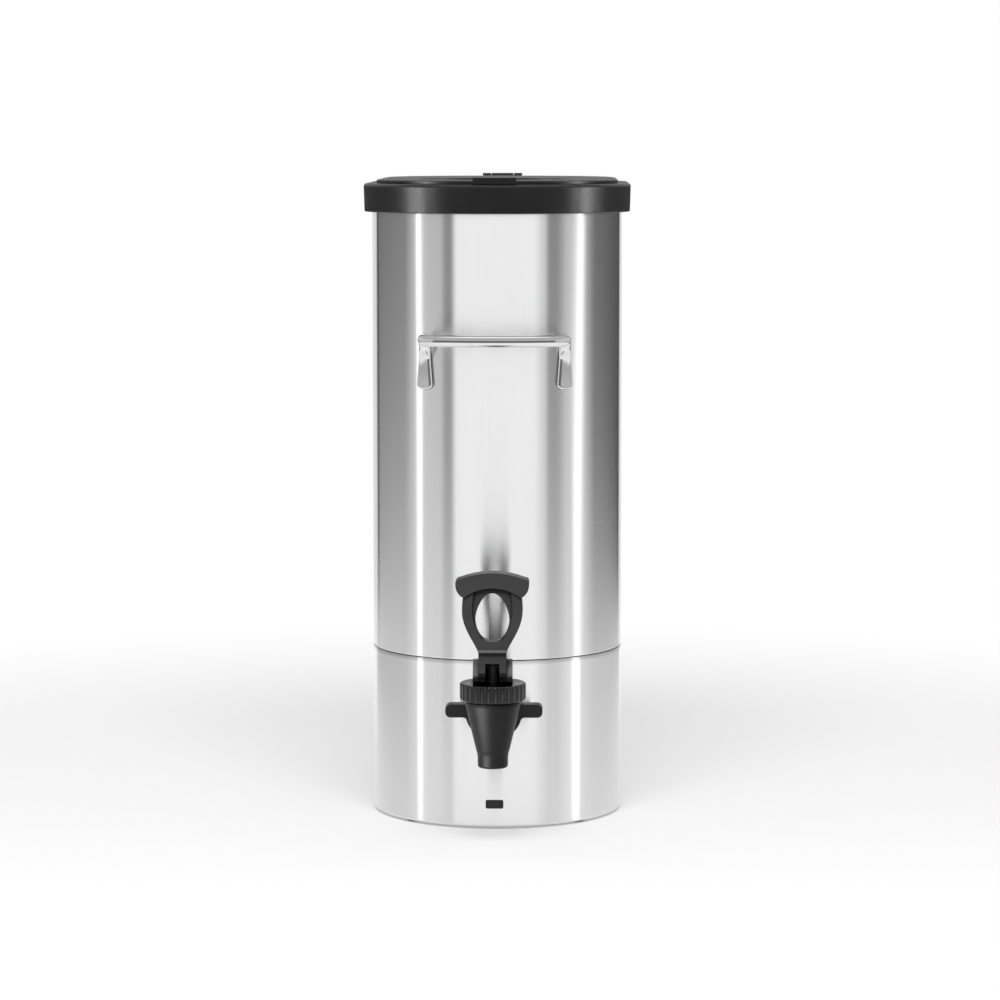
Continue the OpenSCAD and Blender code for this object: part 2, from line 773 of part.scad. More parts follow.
// Lever with a finger loop, an arched cap and a forked foot that rocks on the bonnet.
module tap_handle() {
    last = tilt_max + 3;
    side = concat([[foot_back, -foot_h + foot_heel], [foot_back - foot_heel, -foot_h]], toe_line(last));
    color(black)
        difference() {
            union() {
                translate([0, tap_y, pin_z])
                    side_prism(-neck_w / 2, neck_w / 2)
                        polygon(concat(side, [
                            [-toe_back, -toe_up], [-toe_back, -face_low - 0.6], [-foot_front, -face_low],
                            [-foot_front, ledge_up + neck_lap], [-loop_back, ledge_up + neck_lap],
                            [foot_back - back_draw, back_slope], [foot_back, back_edge]]));
                translate([0, tap_y, pin_z])
                    side_prism(-cheek_w / 2, cheek_w / 2)
                        polygon(concat(side, arc(cheek_mid, cheek_top - cheek_r, cheek_r, 180, 0, 14)));
                translate([0, tap_y - loop_back, neck_z])
                    side_prism(-neck_w / 2, neck_w / 2)
                        polygon([
                            [0, 0], [-loop_deep - ledge_out, 0], [-loop_deep - ledge_out, ledge_t],
                            [-loop_deep, ledge_t + ledge_out], [0, ledge_t + ledge_out]
                        ]);
                front_prism(tap_y - loop_back, loop_deep)
                    difference() {
                        polygon(mirrored(loop_side(0, loop_z, cap_z - web_inset)));
                        polygon(mirrored(loop_side(border_w, loop_z + web_low, cap_z + web_inset)));
                    }
                front_prism(tap_y - loop_back - (loop_deep - web_deep) / 2, web_deep)
                    polygon(mirrored(loop_side(web_inset, loop_z, cap_z - web_inset)));
                front_prism(tap_y - loop_back + (cap_deep - loop_deep) / 2, cap_deep)
                    polygon(cap_outline());
            }
            front_prism(tap_y + foot_h, 2 * tap_out)
                polygon(hole_side());
            translate([-fork_w / 2, tap_y - tap_out, pin_z - foot_h - fork_w])
                cube([fork_w, tap_out + stem_r + 2 * clear_gap, fork_top - pin_z + foot_h + fork_w]);
            across(pin_d / 2 + run_gap, cheek_w, tap_y, pin_z);
        }
}

// Lid that drops over the rolled rim, with a fill opening and two hinge lugs.
module lid_frame() {
    lug_w = tab_block_w / 2 - knuckle_half - knuckle_gap;
    color(black)
        difference() {
            union() {
                racetrack()
                    polygon(concat(
                        [[r_lid_in, lid_bottom], [r_lid_low - 0.5, lid_bottom], [r_lid_low, lid_bottom + 0.5]],
                        arc(r_lid - lid_edge, lid_top - lid_edge, lid_edge, 0, 90),
                        [
                            [r_open + 0.6, lid_top], [r_open, lid_top - 0.6], [r_open, lid_under],
                            [guide_in, lid_under], [guide_in, lid_under - guide_deep],
                            [guide_out - 0.8, lid_under - guide_deep], [guide_out, lid_under - guide_deep + 0.8],
                            [guide_out, lid_under], [r_lid_in, lid_under]
                        ]
                    ));
                for (s = [-1, 1])
                    translate([s * (tab_block_w / 2 - lug_w / 2), hinge_y, 0]) {
                        translate([0, 0, hinge_z])
                            rotate([0, 90, 0])
                                cylinder(r = knuckle_r, h = lug_w, center = true);
                        translate([-lug_w / 2, -knuckle_r, lid_top - 0.5])
                            cube([lug_w, 2 * knuckle_r, hinge_z - lid_top + 0.5]);
                    }
            }
            across(hinge_bore, tab_block_w, hinge_y, hinge_z);
        }
}

// Outline of the sunken panel: two arcs that meet at points on both sides.
function panel_outline(grow) = let (
    half = panel_half + grow,
    deep = panel_len / 2 + grow,
    r = (half * half + deep * deep) / (2 * deep),
    a = asin(half / r)
) concat(
    arc(0, panel_y - r + deep, r, 90 - a, 90 + a, 20),
    arc(0, panel_y + r - deep, r, 270 - a, 270 + a, 20)
);

// Flip-up hatch with a lift tab at the front, a sunken panel and a hinge knuckle behind.
module lid_hatch() {
    front = -hl - r_hatch;
    color(black)
        difference() {
            union() {
                racetrack()
                    polygon(concat(
                        [[0, hatch_bottom], [r_hatch, hatch_bottom]],
                        [for (a = [0:15:90])
                            [r_hatch - shoulder_w * (1 - cos(a)), hatch_top - shoulder_h * (1 - sin(a))]],
                        [[0, hatch_top]]
                    ));
                racetrack()
                    translate([rib_out - rib_w, hatch_bottom - rib_deep])
                        square([rib_w, rib_deep + hatch_t / 2]);
                translate([0, 0, hatch_bottom - panel_deep])
                    linear_extrude(height = panel_deep + hatch_t / 2)
                        polygon(panel_outline(panel_wall));
                translate([-tab_block_w / 2, front - tab_out, hatch_bottom])
                    cube([tab_block_w, tab_out + tab_in, hatch_t + tab_block_up]);
                across(knuckle_r, knuckle_half, hinge_y, hinge_z);
                translate([-knuckle_half, -front - 3, hatch_bottom + 0.4])
                    cube([2 * knuckle_half, hinge_y + front + 3, hatch_t - 0.4]);
            }
            translate([0, 0, hatch_top - panel_deep])
                linear_extrude(height = panel_deep + hatch_t)
                    polygon(panel_outline(0));
            across(hinge_bore, tab_block_w, hinge_y, hinge_z);
        }
}

// Hinge pin of the hatch.
module hatch_pin() {
    color(steel)
        across(hinge_pin_d / 2, tab_block_w / 2 - 0.2, hinge_y, hinge_z);
}

placed() tank_shell();
placed() tank_floor();
placed() base_skirt();
placed() slot_plug();
placed() rubber_feet();
placed() front_handle();
placed() rear_handle();
placed() outer_gasket();
placed() tap_shank();
placed() inner_gasket();
placed() shank_nut();
placed() tail_gasket();
placed() wing_nut();
placed() tap_body();
placed() bonnet();
placed() stem();
placed() seat_cup();
placed() return_spring();
placed() handle_pin();
placed() tap_handle();
placed() lid_frame();
placed() lid_hatch();
placed() hatch_pin();
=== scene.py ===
"""Looks of the oval tea dispenser: materials, moulded edges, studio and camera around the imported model."""

import json
import math

import bmesh
import bpy
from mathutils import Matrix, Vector


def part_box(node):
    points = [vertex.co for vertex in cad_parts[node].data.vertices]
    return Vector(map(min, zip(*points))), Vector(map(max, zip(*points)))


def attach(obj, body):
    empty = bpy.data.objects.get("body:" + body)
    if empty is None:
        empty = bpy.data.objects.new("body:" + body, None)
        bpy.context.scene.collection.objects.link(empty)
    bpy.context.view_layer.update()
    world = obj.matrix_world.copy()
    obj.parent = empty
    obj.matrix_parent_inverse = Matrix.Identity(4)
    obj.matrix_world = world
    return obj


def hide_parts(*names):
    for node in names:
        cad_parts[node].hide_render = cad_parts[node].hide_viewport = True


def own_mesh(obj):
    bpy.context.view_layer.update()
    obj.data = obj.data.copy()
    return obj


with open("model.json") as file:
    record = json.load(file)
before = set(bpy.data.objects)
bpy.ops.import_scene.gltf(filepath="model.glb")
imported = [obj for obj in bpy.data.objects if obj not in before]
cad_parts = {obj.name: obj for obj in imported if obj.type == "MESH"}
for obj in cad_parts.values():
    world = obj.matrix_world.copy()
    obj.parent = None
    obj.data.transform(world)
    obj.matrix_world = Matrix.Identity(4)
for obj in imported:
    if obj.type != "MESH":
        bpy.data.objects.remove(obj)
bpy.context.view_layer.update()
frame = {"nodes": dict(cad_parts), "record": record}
nodes = frame["nodes"]
record = frame["record"]
node_body = {n: b for b, ns in record["behaviour"]["bodies"].items() for n in ns}
node_slot = {s["node"]: s["material_slot"] for s in record["subparts"]}
shown = {}  # the object that stands for each node in the picture

# Lengths are in metres, angles in degrees. A direction is 0 to the front and 90 to the right.
MM = 0.001
tank_low, tank_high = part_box("tank_shell")
TANK_Y = (tank_low.y + tank_high.y) / 2
stem_low, stem_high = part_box("stem")
TAP_Y = (stem_low.y + stem_high.y) / 2
SEAM_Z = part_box("base_skirt")[1].z
LEVER_FOOT_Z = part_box("tap_handle")[0].z
BONNET_TOP_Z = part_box("bonnet")[1].z

# Pieces that share lamps and cards.
TANK = ["tank_shell", "tank_floor"]
SKIRT = ["base_skirt"]
RODS = ["front_handle", "rear_handle", "tap_shank", "shank_nut", "handle_pin", "hatch_pin", "return_spring"]
GLOSSY = RODS + ["bonnet"]
SATIN = [n for n in nodes if n not in TANK + SKIRT + GLOSSY]
LID = ["lid_frame", "lid_hatch"]
TAP = ["tap_body", "bonnet", "wing_nut", "tap_handle", "stem"]


def place(radius, deg, z, middle_y=TANK_Y):
    """The point at a distance and in a direction from an upright line in the middle plane."""
    a = math.radians(deg)
    return (radius * math.sin(a), middle_y - radius * math.cos(a), z)


# Camera, from the photograph's perspective: a long lens, a little above the lid and to the right.
FOCAL_PX = 3480.0
IMAGE_PX = 1000.0
SENSOR_MM = 36.0
CAM_AWAY = 2.453
CAM_HIGH = 0.4681
CAM_SIDE_DEG = 1.22
CAM_PAN_DEG = -0.0214
CAM_TILT_DEG = 6.01
CAM_SEES_TO = 40.0


def make_camera():
    data = bpy.data.cameras.new("camera")
    data.sensor_width = SENSOR_MM
    data.lens = SENSOR_MM * FOCAL_PX / IMAGE_PX
    data.clip_end = CAM_SEES_TO
    cam = bpy.data.objects.new("camera", data)
    bpy.context.scene.collection.objects.link(cam)
    cam.location = place(CAM_AWAY, CAM_SIDE_DEG, CAM_HIGH)
    turn = math.radians(CAM_SIDE_DEG + CAM_PAN_DEG)
    cam.rotation_euler = (math.radians(90 - CAM_TILT_DEG), 0.0, turn)
    bpy.context.scene.camera = cam


# Node helpers; those that work out a value give back the socket with the result.
def new_material(name):
    mat = bpy.data.materials.new(name)
    mat.use_nodes = True
    tree = mat.node_tree
    tree.nodes.clear()
    return mat, tree


def add(tree, kind, inputs=None, **values):
    """A new node with its settings and with fixed values at the named inputs."""
    node = tree.nodes.new(kind)
    for key, value in values.items():
        setattr(node, key, value)
    for key, value in (inputs or {}).items():
        node.inputs[key].default_value = value
    return node


def link(tree, a, b):
    tree.links.new(a, b)


def coords(tree, scale=(1.0, 1.0, 1.0)):
    """Object coordinates in metres, stretched by scale."""
    tex = add(tree, "ShaderNodeTexCoord")
    mapping = add(tree, "ShaderNodeMapping", {"Scale": scale})
    link(tree, tex.outputs["Object"], mapping.inputs["Vector"])
    return mapping.outputs["Vector"]


def noise(tree, vector, scale, detail, rough=0.55):
    node = add(tree, "ShaderNodeTexNoise", {"Scale": scale, "Detail": detail, "Roughness": rough})
    link(tree, vector, node.inputs["Vector"])
    return node.outputs["Fac"]


def fade(tree, value, low, high, share, full=1.0):
    """From share where the value is below low to full where it is above high."""
    ends = {"From Min": low, "From Max": high, "To Min": share, "To Max": full}
    node = add(tree, "ShaderNodeMapRange", ends)
    link(tree, value, node.inputs["Value"])
    return node.outputs["Result"]


def spread(tree, value, low=0.0, high=1.0):
    """A noise value, which keeps near its middle, spread over the range low to high."""
    return fade(tree, value, 0.3, 0.7, low, high)


def mix_colour(tree, factor, a, b):
    node = add(tree, "ShaderNodeMix", data_type="RGBA")
    node.inputs["A"].default_value = (*a, 1.0)
    node.inputs["B"].default_value = (*b, 1.0)
    link(tree, factor, node.inputs["Factor"])
    return node.outputs["Result"]


def bump(tree, height, strength, distance):
    node = add(tree, "ShaderNodeBump", {"Strength": strength, "Distance": distance})
    link(tree, height, node.inputs["Height"])
    return node.outputs["Normal"]


def times(tree, tone, share):
    """A colour times a value."""
    node = add(tree, "ShaderNodeMix", data_type="RGBA", blend_type="MULTIPLY")
    node.inputs["Factor"].default_value = 1.0
    link(tree, tone, node.inputs["A"])
    link(tree, share, node.inputs["B"])
    return node.outputs["Result"]


def product(tree, a, b):
    """A value times a value."""
    node = add(tree, "ShaderNodeMath", operation="MULTIPLY")
    link(tree, a, node.inputs[0])
    link(tree, b, node.inputs[1])
    return node.outputs[0]


def along(tree, axis, middle=None):
    """A point's place along an axis of its piece, or how far it is from the middle."""
    tex = add(tree, "ShaderNodeTexCoord")
    axes = add(tree, "ShaderNodeSeparateXYZ")
    link(tree, tex.outputs["Object"], axes.inputs[0])
    if middle is None:
        return axes.outputs[axis]
    away = add(tree, "ShaderNodeMath", {1: middle}, operation="SUBTRACT")
    link(tree, axes.outputs[axis], away.inputs[0])
    size = add(tree, "ShaderNodeMath", operation="ABSOLUTE")
    link(tree, away.outputs[0], size.inputs[0])
    return size.outputs[0]


def painted_crevice_shade(tree, reach, hidden, open_at, low):
    """Painted shade in hollows: from low where other surfaces lie close within reach to 1 in the open."""
    crevice = add(tree, "ShaderNodeAmbientOcclusion", {"Distance": reach}, samples=6)
    return fade(tree, crevice.outputs["AO"], hidden, open_at, low)


def leaning_normal(tree, lean):
    """The surface's normal, turned upwards by lean metres per metre."""
    geometry = add(tree, "ShaderNodeNewGeometry")
    leaning = add(tree, "ShaderNodeVectorMath", {1: (0.0, 0.0, lean)}, operation="ADD")
    link(tree, geometry.outputs["Normal"], leaning.inputs[0])
    unit = add(tree, "ShaderNodeVectorMath", operation="NORMALIZE")
    link(tree, leaning.outputs["Vector"], unit.inputs[0])
    return unit.outputs["Vector"]


def seen_directly(tree):
    """1 for what the camera sees, straight, mirrored or through something, and 0 for light on surfaces."""
    path = add(tree, "ShaderNodeLightPath")
    seen = path.outputs["Is Camera Ray"]
    for ray in ("Is Glossy Ray", "Is Transmission Ray"):
        both = add(tree, "ShaderNodeMath", operation="ADD", use_clamp=True)
        link(tree, seen, both.inputs[0])
        link(tree, path.outputs[ray], both.inputs[1])
        seen = both.outputs[0]
    return seen


def add_shaders(tree, a, b):
    node = add(tree, "ShaderNodeAddShader")
    link(tree, a.outputs[0], node.inputs[0])
    link(tree, b.outputs[0], node.inputs[1])
    return node


def output(tree, shader, kind="ShaderNodeOutputMaterial"):
    out = add(tree, kind)
    link(tree, shader.outputs[0], out.inputs["Surface"])


def surface(tree, metallic=0.0, specular=0.5):
    bsdf = add(tree, "ShaderNodeBsdfPrincipled", {"Metallic": metallic, "Specular IOR Level": specular})
    output(tree, bsdf)
    return bsdf


# Materials.
STEEL_DARK, STEEL_LIGHT = (0.803, 0.803, 0.806), (0.818, 0.818, 0.82)
STEEL_ROUGH = (0.185, 0.235)
ROD_DARKER, ROD_LIGHTER = 0.04, 0.02
QUARTER_TURN = 0.25


def sheet_steel(name, seam_reach, seam_painted_share, lean=0.0):
    """Bright stainless sheet, ground round the body, so that reflections draw out up and down.

    At the seam the tone changes to the given seam share of it, a painted highlight where the share is above 1 and
    painted shade where it is below 1; painted shade also darkens the seam's groove; lean turns the reflections
    upwards.
    """
    mat, tree = new_material(name)
    bsdf = surface(tree, metallic=1.0)
    streaks = noise(tree, coords(tree, (60.0, 60.0, 1.5)), scale=6.0, detail=2.0)
    grain = noise(tree, coords(tree, (20.0, 20.0, 4200.0)), scale=1.0, detail=2.0)
    tone = mix_colour(tree, spread(tree, streaks), STEEL_DARK, STEEL_LIGHT)
    # Painted light at the seam: a painted highlight on the tank above it, painted shade on the skirt below it.
    tone = times(tree, tone, fade(tree, along(tree, "Z", SEAM_Z), 0.0, seam_reach, seam_painted_share))
    # Painted shade in the seam's groove and in other close hollows.
    tone = times(tree, tone, painted_crevice_shade(tree, reach=1.1 * MM, hidden=0.45, open_at=0.9, low=0.1))
    link(tree, tone, bsdf.inputs["Base Color"])
    link(tree, spread(tree, grain, *STEEL_ROUGH), bsdf.inputs["Roughness"])
    bsdf.inputs["Anisotropic"].default_value = 1.0
    bsdf.inputs["Anisotropic Rotation"].default_value = QUARTER_TURN
    tangent = add(tree, "ShaderNodeTangent", direction_type="RADIAL", axis="Z")
    link(tree, tangent.outputs["Tangent"], bsdf.inputs["Tangent"])
    if lean:
        link(tree, leaning_normal(tree, lean), bsdf.inputs["Normal"])
    return mat


def rod_steel(name, tone, rough):
    """Polished rod or turned steel, with faint scuffs."""
    mat, tree = new_material(name)
    bsdf = surface(tree, metallic=1.0)
    scuff = noise(tree, coords(tree), scale=900.0, detail=4.0)
    blotch = noise(tree, coords(tree), scale=60.0, detail=2.0)
    dark, light = (tone - ROD_DARKER,) * 3, (tone + ROD_LIGHTER,) * 3
    link(tree, mix_colour(tree, spread(tree, blotch), dark, light), bsdf.inputs["Base Color"])
    link(tree, spread(tree, scuff, *rough), bsdf.inputs["Roughness"])
    return mat


def satin_plastic(name, dark, light, rough, grain_mm=0.5, depth=0.04 * MM, specular=0.5, shade=None):
    """Moulded plastic or rubber with a fine eggshell grain.

    A shade, if given, is painted light and shade: it changes its colour and dims its gloss from place to place.
    """
    mat, tree = new_material(name)
    bsdf = surface(tree, specular=specular)
    vec = coords(tree)
    mottle = noise(tree, vec, scale=45.0, detail=4.0, rough=0.6)
    grain = noise(tree, vec, scale=1000.0 / grain_mm, detail=2.0)
    colour = mix_colour(tree, spread(tree, mottle), dark, light)
    if shade:
        share = shade(tree)
        colour = times(tree, colour, share)
        link(tree, fade(tree, share, 0.0, 1.0, 0.0, specular), bsdf.inputs["Specular IOR Level"])
    link(tree, colour, bsdf.inputs["Base Color"])
    link(tree, spread(tree, grain, rough - 0.03, rough + 0.04), bsdf.inputs["Roughness"])
    link(tree, bump(tree, grain, strength=0.25, distance=depth), bsdf.inputs["Normal"])
    return mat


# On the lever, where light and shade are painted: heights over its lowest point, and distances from its middle
# plane.
FOOT_DARK_TO, FOOT_FADES_TO = 4.8 * MM, 6.2 * MM
CHEEK_FADES_FROM, CHEEK_FROM = 9.2 * MM, 10.0 * MM
CHEEK_MIDDLE, CHEEK_HALF, CHEEK_FADES_TO = 10.0 * MM, 5.5 * MM, 6.5 * MM
CHEEK_TONE = 2.0
# On the bonnet, where shade is painted on its top: depths under its top.
TOP_FADES_FROM, TOP_FROM = 0.25 * MM, 0.1 * MM


def lever_painted_light_and_shade(tree):
    """Painted shade in the lever's corners and on its foot over the bonnet, and painted light on the fork's cheeks.
    """
    corners = painted_crevice_shade(tree, reach=9.0 * MM, hidden=0.35, open_at=0.8, low=0.1)
    foot = fade(tree, along(tree, "Z"), LEVER_FOOT_Z + FOOT_DARK_TO, LEVER_FOOT_Z + FOOT_FADES_TO, 0.08)
    outside = fade(tree, along(tree, "X", 0.0), CHEEK_FADES_FROM, CHEEK_FROM, 0.0)
    height = along(tree, "Z", LEVER_FOOT_Z + CHEEK_MIDDLE)
    cheeks = fade(tree, height, CHEEK_HALF, CHEEK_FADES_TO, CHEEK_TONE, 0.0)
    # Painted light: the fork's cheeks are made lighter.
    cheek_painted_light = fade(tree, product(tree, outside, cheeks), 0.0, CHEEK_TONE, 1.0, 1.0 + CHEEK_TONE)
    return product(tree, product(tree, corners, foot), cheek_painted_light)


def bonnet_painted_shade(tree):
    """Painted shade dulls and darkens the bonnet in its flutes and on its top."""
    flutes = painted_crevice_shade(tree, reach=2.5 * MM, hidden=0.6, open_at=0.95, low=0.05)
    top = fade(tree, along(tree, "Z"), BONNET_TOP_Z - TOP_FADES_FROM, BONNET_TOP_Z - TOP_FROM, 1.0, 0.15)
    return product(tree, flutes, top)


# One material for each slot of the record.
materials = {
    # The tank's steel carries a painted highlight just above the seam.
    "polished_steel": sheet_steel("tank_steel", seam_reach=1.7 * MM, seam_painted_share=1.2),
    "machined_steel": rod_steel("turned_steel", tone=0.72, rough=(0.18, 0.28)),
    "pin_steel": rod_steel("pin_steel", tone=0.68, rough=(0.14, 0.24)),
    "lid_plastic": satin_plastic("lid_plastic", (0.009, 0.009, 0.0091), (0.013, 0.013, 0.0132), rough=0.34),
    "tap_plastic": satin_plastic(
        "tap_plastic", (0.006, 0.006, 0.0061), (0.009, 0.009, 0.0091), rough=0.4, specular=0.22),
    "plug_plastic": satin_plastic("plug_plastic", (0.008, 0.008, 0.008), (0.012, 0.012, 0.012), rough=0.42),
    # The stem's grey is lighter than its black plastic: painted light in the lever's slot.
    "stem_plastic": satin_plastic("stem_plastic", (0.06, 0.06, 0.06), (0.075, 0.075, 0.075), rough=0.4),
    "gasket_rubber": satin_plastic(
        "gasket_rubber", (0.3, 0.3, 0.29), (0.36, 0.36, 0.35), rough=0.6, grain_mm=0.8, depth=0.08 * MM),
    "cup_rubber": satin_plastic(
        "cup_rubber", (0.5, 0.5, 0.47), (0.58, 0.58, 0.55), rough=0.5, grain_mm=0.8, depth=0.06 * MM),
    "foot_rubber": satin_plastic(
        "foot_rubber", (0.012, 0.012, 0.012), (0.02, 0.02, 0.02), rough=0.7, grain_mm=0.8, depth=0.1 * MM),
}
# Pieces that look a little different from the rest of their slot.
# The skirt's steel carries painted shade just below the seam.
skirt_steel = sheet_steel("skirt_steel", seam_reach=3.4 * MM, seam_painted_share=0.52, lean=0.1)
handle_steel = rod_steel("handle_steel", tone=0.8, rough=(0.09, 0.14))
bonnet_plastic = satin_plastic(
    "bonnet_plastic", (0.009, 0.009, 0.0091), (0.012, 0.012, 0.0121), rough=0.14, specular=0.6, shade=bonnet_painted_shade)
# The lever and the wing nut are lighter copies of the tap plastic: their raised tone is painted light.
lever_plastic = satin_plastic(
    "lever_plastic", (0.016, 0.016, 0.0161), (0.021, 0.021, 0.0212), rough=0.4, specular=0.3, shade=lever_painted_light_and_shade)
wing_plastic = satin_plastic(
    "wing_plastic", (0.014, 0.014, 0.0141), (0.018, 0.018, 0.0182), rough=0.4, specular=0.3)
# The lever's pin is painted nearly black: painted shade in the lever's slot.
pin_in_painted_shade = rod_steel("pin_painted_shade", tone=0.05, rough=(0.3, 0.4))


# The object.
JOIN_WITHIN = 2e-6
FLAT_DEG = 0.6
SHARP_DEG = 28.0
QUAD_FACE_DEG, QUAD_SHAPE_DEG = 40, 60


def paint(obj, mat):
    obj.data.materials.clear()
    obj.data.materials.append(mat)


def joined_copy(node):
    """A copy of the node's mesh, with its split vertices joined."""
    bm = bmesh.new()
    bm.from_mesh(nodes[node].data)
    bmesh.ops.remove_doubles(bm, verts=bm.verts, dist=JOIN_WITHIN)
    return bm


def smooth_mesh(bm, name):
    """Turns a bmesh into a mesh that is shaded smooth."""
    mesh = bpy.data.meshes.new(name)
    bm.to_mesh(mesh)
    bm.free()
    mesh.polygons.foreach_set("use_smooth", [True] * len(mesh.polygons))
    return mesh


def new_piece(name, mesh, body, node, mat):
    """Adds a piece that takes the node's place in the picture."""
    obj = bpy.data.objects.new(name, mesh)
    bpy.context.scene.collection.objects.link(obj)
    paint(obj, mat)
    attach(obj, body)
    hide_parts(node)
    shown[node] = obj
    return obj


def moulded(node, width, segments=3, mat=None):
    """Replaces a node by the same form with its sharp edges rounded, as a moulding has them."""
    bm = joined_copy(node)
    bmesh.ops.dissolve_limit(bm, angle_limit=math.radians(FLAT_DEG), verts=bm.verts, edges=bm.edges)
    bmesh.ops.recalc_face_normals(bm, faces=bm.faces)
    mesh = smooth_mesh(bm, node + "_mesh")
    obj = new_piece(node + "_moulded", mesh, node_body[node], node, mat or materials[node_slot[node]])
    bevel = obj.modifiers.new("edges", "BEVEL")
    bevel.width = width
    bevel.segments = segments
    bevel.limit_method = "ANGLE"
    bevel.angle_limit = math.radians(SHARP_DEG)
    bevel.use_clamp_overlap = True
    flat = obj.modifiers.new("flat_faces", "WEIGHTED_NORMAL")
    flat.weight = 100
    flat.keep_sharp = True


def smooth_rod(node):
    """Replaces a faceted carry handle by one on the same points, with quads and smooth shading."""
    bm = joined_copy(node)
    bmesh.ops.join_triangles(
        bm, faces=bm.faces,
        angle_face_threshold=math.radians(QUAD_FACE_DEG), angle_shape_threshold=math.radians(QUAD_SHAPE_DEG))
    mesh = smooth_mesh(bm, node + "_mesh")
    new_piece(node + "_rod", mesh, node_body[node], node, handle_steel)


WIRE_R = 0.6 * MM
SPRING_TURNS, STEPS_PER_TURN, WIRE_SIDES = 7.0, 28, 10
CLOSED_RISE = 2.1 * WIRE_R


def spring_height(turn, low, high):
    """The wire's height after so many turns: the first and the last turn lie closed, the rest climb."""
    climb = min(max((turn - 1) / (SPRING_TURNS - 2), 0.0), 1.0)
    closed = CLOSED_RISE * (min(turn, 1.0) + max(turn - SPRING_TURNS + 1, 0.0))
    return low + closed + (high - low - 2 * CLOSED_RISE) * climb


def wound_spring():
    """Replaces the coarse return spring by a round wire with closed ends, squeezed as the stem lifts."""
    low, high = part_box("return_spring")
    mid = (low + high) / 2
    coil_r = (high.x - low.x) / 2 - WIRE_R
    bm = bmesh.new()
    rings = []
    steps = int(SPRING_TURNS * STEPS_PER_TURN)
    for i in range(steps + 1):
        turn = SPRING_TURNS * i / steps
        a = 2 * math.pi * turn
        out = Vector((math.cos(a), math.sin(a), 0.0))
        centre = Vector((mid.x, mid.y, spring_height(turn, low.z + WIRE_R, high.z - WIRE_R))) + out * coil_r
        ring = []
        for j in range(WIRE_SIDES):
            b = 2 * math.pi * j / WIRE_SIDES
            ring.append(bm.verts.new(centre + WIRE_R * (out * math.cos(b) + Vector((0, 0, math.sin(b))))))
        rings.append(ring)
    for r0, r1 in zip(rings, rings[1:]):
        for j in range(WIRE_SIDES):
            k = (j + 1) % WIRE_SIDES
            bm.faces.new((r0[j], r0[k], r1[k], r1[j]))
    bm.faces.new(rings[0][::-1])
    bm.faces.new(rings[-1])
    bmesh.ops.recalc_face_normals(bm, faces=bm.faces)
    mesh = smooth_mesh(bm, "spring_mesh")
    obj = new_piece("return_spring_wire", mesh, node_body["return_spring"], "return_spring", materials["pin_steel"])
    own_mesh(obj)


def build_object():
    for name, obj in nodes.items():
        paint(obj, materials[node_slot[name]])
        shown[name] = obj
    paint(nodes["base_skirt"], skirt_steel)
    # The pin carries painted shade.
    paint(nodes["handle_pin"], pin_in_painted_shade)
    moulded("lid_frame", 0.5 * MM)
    moulded("lid_hatch", 0.45 * MM)
    moulded("tap_handle", 0.6 * MM, mat=lever_plastic)
    moulded("wing_nut", 0.7 * MM, mat=wing_plastic)
    moulded("bonnet", 0.5 * MM, mat=bonnet_plastic)
    moulded("slot_plug", 0.3 * MM, segments=2)
    for node in ("front_handle", "rear_handle"):
        smooth_rod(node)
    wound_spring()


# The studio: a white floor that fades out, cards and tents that only reflections see, and soft lamps.
FLOOR_R = 1.0
FLOOR_RINGS, FLOOR_SPOKES = 24, 96
FLOOR_Z = -0.2 * MM
FLOOR_FADES_FROM, FLOOR_FADES_TO = 0.35, 0.9
FLOOR_GREY = 0.9
FLOOR_LIFT = 0.16
WORLD_FILL = 0.55
TANK_RING_R, SKIRT_RING_R = 2.3, 2.5
TANK_STRIP_R, SKIRT_STRIP_R = 2.2, 2.4
ROD_TENT_R, PLASTIC_TENT_R = 4.0, 4.4
RING_LOW, RING_HIGH = -0.9, 3.2
CARD_LOW_Z, CARD_HIGH_Z = 0.0, 0.28
STRIP_Z = 0.4
TENT_Z = 0.3
TENT_LOW_DEG, TENT_UP_STEP, TENT_ROUND_STEP = -30, 2, 4
TENT_SIDE_FROM, TENT_SIDE_OVER = 44, 12

# Cards round the tank: from and to which direction, and the grey at each end.
TANK_CARDS = [
    ("rim_left", -180, -146, 0.78, 0.78),
    ("edge_left", -143, -140, 0.03, 0.03),
    ("back_left", -137, -90, 0.175, 0.19),
    ("side_left", -78, -50, 0.54, 0.49),
    ("flag_left", -46, -40, 0.21, 0.21),
    ("front", -36, 35, 1.06, 1.06),
    ("fade_right", 40, 44, 0.82, 0.75),
    ("flag_right", 48, 57, 0.19, 0.19),
    ("side_right", 66, 82, 0.49, 0.53),
    ("back_right", 100, 147, 0.17, 0.1),
    ("edge_right", 150, 153, 0.03, 0.03),
    ("rim_right", 156, 180, 0.8, 0.8),
]
# How much brighter these cards are in their lower part, so that the tank gets lighter downwards.
TANK_LOW_GAIN = {
    "back_left": 2.2, "side_left": 1.42, "flag_left": 1.6, "flag_right": 2.1, "side_right": 1.62, "back_right": 1.1,
}
# The skirt has the same bands as the tank, in lighter greys except at the front.
SKIRT_GREYS = {
    "rim_left": (1.1, 1.1), "edge_left": (0.4, 0.4), "back_left": (0.4, 0.5), "side_left": (0.76, 0.74),
    "flag_left": (0.62, 0.62), "fade_right": (0.84, 0.78), "flag_right": (0.64, 0.64), "side_right": (0.8, 0.84),
    "back_right": (0.6, 0.46), "edge_right": (0.4, 0.4), "rim_right": (1.2, 1.2),
}
SKIRT_CARDS = [(name, a, b, *SKIRT_GREYS.get(name, (u, v))) for name, a, b, u, v in TANK_CARDS]

